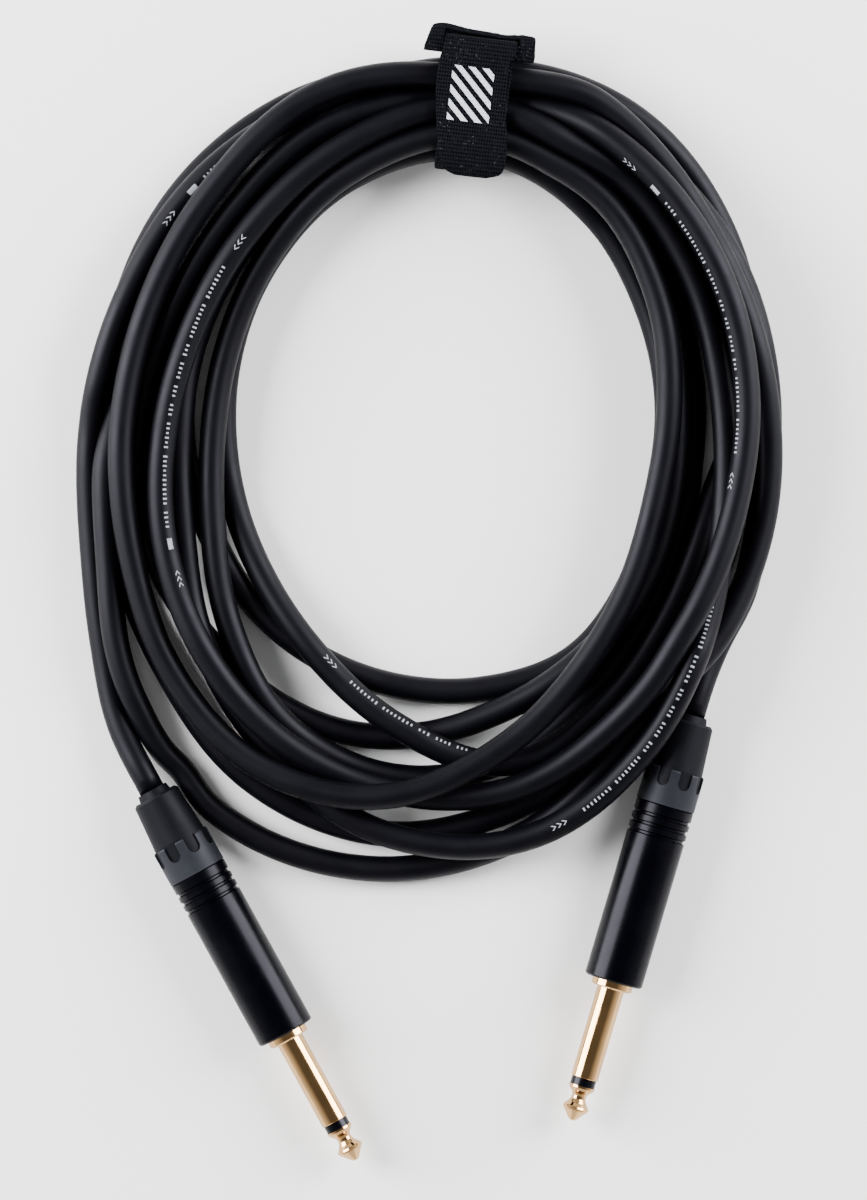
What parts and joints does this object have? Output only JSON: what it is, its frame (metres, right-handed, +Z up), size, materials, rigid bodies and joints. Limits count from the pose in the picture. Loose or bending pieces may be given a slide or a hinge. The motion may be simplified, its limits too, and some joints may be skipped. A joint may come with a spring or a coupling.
{
  "type": "instrument cable",
  "caption": "Coiled cable with a straight mono phone plug at each end, lying flat and bundled by a hook-and-loop tie.",
  "frame": {"origin": "on the floor, under the centre of the box round both plugs and the tie", "axes": "+Z up; +Y from the plugs across the coil to the tie; +X to the right when seen from above with the tie at the far side"},
  "size_m": [0.1626, 0.2582, 0.021],
  "materials": {
    "shell_paint": "satin black paint",
    "nut_plastic": "matte",
    "boot_rubber": "matte",
    "chuck_plastic": "matte",
    "carrier_plastic": "matte",
    "contact_gold": "polished, gold plated",
    "insulator_plastic": "semi-gloss",
    "lug_brass": "tinned",
    "copper": "bright copper",
    "core_plastic": "semi-gloss",
    "solder": "satin",
    "cable_jacket": "satin black",
    "tie_fabric": "woven hook and loop"
  },
  "bodies": {
    "cable": {"plug_a_shell": "shell_paint", "plug_a_insert_carrier": "carrier_plastic", "plug_a_sleeve": "contact_gold", "plug_a_front_insulator": "insulator_plastic", "plug_a_rear_insulator": "insulator_plastic", "plug_a_tip": "contact_gold", "plug_a_tip_lug": "lug_brass", "plug_a_ground_lug": "lug_brass", "plug_a_core_wire": "copper", "plug_a_core_insulation": "core_plastic", "plug_a_shield_tail": "copper", "plug_a_solder_joints": "solder", "plug_a_jacket_end": "cable_jacket", "plug_b_shell": "shell_paint", "plug_b_insert_carrier": "carrier_plastic", "plug_b_sleeve": "contact_gold", "plug_b_front_insulator": "insulator_plastic", "plug_b_rear_insulator": "insulator_plastic", "plug_b_tip": "contact_gold", "plug_b_tip_lug": "lug_brass", "plug_b_ground_lug": "lug_brass", "plug_b_core_wire": "copper", "plug_b_core_insulation": "core_plastic", "plug_b_shield_tail": "copper", "plug_b_solder_joints": "solder", "plug_b_jacket_end": "cable_jacket", "cable_coil": "cable_jacket", "plug_a_lead": "cable_jacket", "plug_b_lead": "cable_jacket", "tie_strap": "tie_fabric"},
    "plug_a_clamp": {"plug_a_chuck": "chuck_plastic"},
    "plug_a_nut": {"plug_a_clamp_nut": "nut_plastic", "plug_a_boot": "boot_rubber"},
    "plug_b_clamp": {"plug_b_chuck": "chuck_plastic"},
    "plug_b_nut": {"plug_b_clamp_nut": "nut_plastic", "plug_b_boot": "boot_rubber"},
    "tie_tail": {"tie_tail": "tie_fabric"}
  },
  "joints": [
    {"name": "plug_a_nut_slide", "type": "slide", "parent": "cable", "child": "plug_a_clamp", "axis": [-0.4833, 0.8755, 0], "range_m": [0, 0.00225]},
    {"name": "plug_a_nut_turn", "type": "hinge", "parent": "plug_a_clamp", "child": "plug_a_nut", "pos_m": [-0.05296, -0.06108, 0.0069], "axis": [-0.4833, 0.8755, 0], "range_deg": [0, 1081]},
    {"name": "plug_b_nut_slide", "type": "slide", "parent": "cable", "child": "plug_b_clamp", "axis": [0.284, 0.9588, 0], "range_m": [0, 0.00225]},
    {"name": "plug_b_nut_turn", "type": "hinge", "parent": "plug_b_clamp", "child": "plug_b_nut", "pos_m": [0.056, -0.04551, 0.0069], "axis": [0.284, 0.9588, 0], "range_deg": [0, 1081]},
    {"name": "tie_tail_lift", "type": "hinge", "parent": "cable", "child": "tie_tail", "pos_m": [0.01322, 0.12757, 0.01985], "axis": [-0.9925, 0.1219, 0], "range_deg": [0, 137]}
  ],
  "couplings": [
    {"joint": "plug_a_nut_turn", "follows": "plug_a_nut_slide", "rad_per_m": 8377.6},
    {"joint": "plug_b_nut_turn", "follows": "plug_b_nut_slide", "rad_per_m": 8377.6}
  ]
}
